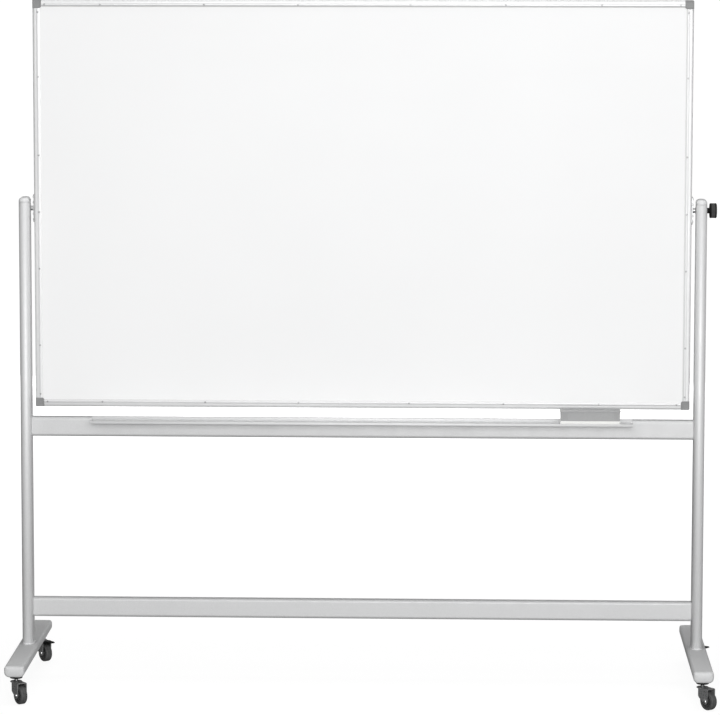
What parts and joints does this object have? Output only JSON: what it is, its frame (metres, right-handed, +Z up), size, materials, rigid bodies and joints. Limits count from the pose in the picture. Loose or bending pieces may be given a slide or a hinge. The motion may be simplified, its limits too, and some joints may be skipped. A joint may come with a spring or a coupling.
{
  "type": "rolling whiteboard",
  "caption": "Two-sided framed writing board that turns over between two posts of a rolling stand with cross beams, pen tray, felt eraser, clamp knob and swivel casters.",
  "frame": {"origin": "on the floor, midway between the posts, in the plane of the pivot axis", "axes": "+X to the right as seen from the tray side, -Y out of the front writing surface, +Z up"},
  "size_m": [1.9348, 0.64, 1.893],
  "materials": {
    "lacquered_steel": "smooth white lacquer",
    "frame_aluminium": "satin anodised",
    "honeycomb_core": "raw paper honeycomb",
    "corner_plastic": "fine grain",
    "screw_steel": "zinc plated",
    "pivot_steel": "turned, plated",
    "silver_paint": "satin powder coat",
    "silver_plastic": "satin",
    "black_plastic": "fine grain",
    "bush_plastic": "plain",
    "insert_steel": "plain",
    "tray_aluminium": "satin anodised",
    "fork_steel": "gloss black",
    "bright_steel": "plated",
    "hub_plastic": "plain",
    "tyre_rubber": "matt",
    "eraser_plastic": "satin",
    "eraser_felt": "felt"
  },
  "bodies": {
    "stand": {"left_post": "silver_paint", "right_post": "silver_paint", "left_post_cap": "silver_plastic", "right_post_cap": "silver_plastic", "upper_beam": "silver_paint", "lower_beam": "silver_paint", "beam_end_plugs": "insert_steel", "beam_bolts": "screw_steel", "pivot_bushes": "bush_plastic", "left_foot": "silver_paint", "right_foot": "silver_paint", "foot_end_caps": "silver_plastic", "post_base_plugs": "insert_steel", "post_foot_bolts": "screw_steel", "pen_tray": "tray_aluminium", "tray_screws": "screw_steel", "caster_collars": "black_plastic", "caster_stems": "bright_steel"},
    "board": {"board_core": "honeycomb_core", "front_writing_sheet": "lacquered_steel", "rear_writing_sheet": "lacquered_steel", "top_frame_rail": "frame_aluminium", "bottom_frame_rail": "frame_aluminium", "left_frame_rail": "frame_aluminium", "right_frame_rail": "frame_aluminium", "top_left_corner_cap": "corner_plastic", "top_right_corner_cap": "corner_plastic", "bottom_left_corner_cap": "corner_plastic", "bottom_right_corner_cap": "corner_plastic", "frame_screws_front": "screw_steel", "frame_screws_rear": "screw_steel", "left_pivot_plate": "pivot_steel", "right_pivot_plate": "pivot_steel", "pivot_plate_screws": "screw_steel", "left_pivot_shaft": "pivot_steel", "right_pivot_shaft": "pivot_steel"},
    "clamp_knob": {"clamp_knob": "black_plastic", "clamp_stud": "screw_steel", "clamp_spacer": "black_plastic"},
    "front_left_caster": {"front_left_fork": "fork_steel", "front_left_axle": "bright_steel"},
    "front_left_wheel": {"front_left_hub": "hub_plastic", "front_left_tyre": "tyre_rubber"},
    "front_right_caster": {"front_right_fork": "fork_steel", "front_right_axle": "bright_steel"},
    "front_right_wheel": {"front_right_hub": "hub_plastic", "front_right_tyre": "tyre_rubber"},
    "rear_left_caster": {"rear_left_fork": "fork_steel", "rear_left_axle": "bright_steel"},
    "rear_left_wheel": {"rear_left_hub": "hub_plastic", "rear_left_tyre": "tyre_rubber"},
    "rear_left_pedal": {"rear_left_brake_pedal": "black_plastic"},
    "rear_right_caster": {"rear_right_fork": "fork_steel", "rear_right_axle": "bright_steel"},
    "rear_right_wheel": {"rear_right_hub": "hub_plastic", "rear_right_tyre": "tyre_rubber"},
    "rear_right_pedal": {"rear_right_brake_pedal": "black_plastic"},
    "eraser": {"eraser_body": "eraser_plastic", "eraser_felt": "eraser_felt"}
  },
  "joints": [
    {"name": "board_turn", "type": "hinge", "parent": "stand", "child": "board", "pos_m": [0, 0, 1.321], "axis": [1, 0, 0], "continuous": true},
    {"name": "knob_turn", "type": "hinge", "parent": "board", "child": "clamp_knob", "pos_m": [0.955, 0, 1.321], "axis": [1, 0, 0], "range_deg": [0, 720]},
    {"name": "front_left_swivel", "type": "hinge", "parent": "stand", "child": "front_left_caster", "pos_m": [-0.9265, -0.275, 0.0585], "axis": [0, 0, 1], "continuous": true},
    {"name": "front_left_roll", "type": "hinge", "parent": "front_left_caster", "child": "front_left_wheel", "pos_m": [-0.91273, -0.29466, 0.025], "axis": [0.8192, 0.5736, 0], "continuous": true},
    {"name": "front_right_swivel", "type": "hinge", "parent": "stand", "child": "front_right_caster", "pos_m": [0.9265, -0.275, 0.0585], "axis": [0, 0, 1], "continuous": true},
    {"name": "front_right_roll", "type": "hinge", "parent": "front_right_caster", "child": "front_right_wheel", "pos_m": [0.9416, -0.29365, 0.025], "axis": [0.7771, 0.6293, 0], "continuous": true},
    {"name": "rear_left_swivel", "type": "hinge", "parent": "stand", "child": "rear_left_caster", "pos_m": [-0.9265, 0.275, 0.0585], "axis": [0, 0, 1], "continuous": true},
    {"name": "rear_left_roll", "type": "hinge", "parent": "rear_left_caster", "child": "rear_left_wheel", "pos_m": [-0.91206, 0.25583, 0.025], "axis": [0.7986, 0.6018, 0], "continuous": true},
    {"name": "rear_left_brake", "type": "hinge", "parent": "rear_left_caster", "child": "rear_left_pedal", "pos_m": [-0.91025, 0.25344, 0.0545], "axis": [0.7986, 0.6018, 0], "range_deg": [0, 14]},
    {"name": "rear_right_swivel", "type": "hinge", "parent": "stand", "child": "rear_right_caster", "pos_m": [0.9265, 0.275, 0.0585], "axis": [0, 0, 1], "continuous": true},
    {"name": "rear_right_roll", "type": "hinge", "parent": "rear_right_caster", "child": "rear_right_wheel", "pos_m": [0.94489, 0.25957, 0.025], "axis": [0.6428, 0.766, 0], "continuous": true},
    {"name": "rear_right_brake", "type": "hinge", "parent": "rear_right_caster", "child": "rear_right_pedal", "pos_m": [0.94718, 0.25764, 0.0545], "axis": [0.6428, 0.766, 0], "range_deg": [0, 14]},
    {"name": "eraser_lift", "type": "slide", "parent": "stand", "child": "eraser", "axis": [0, 0, 1], "range_m": [0, 0.15]}
  ]
}
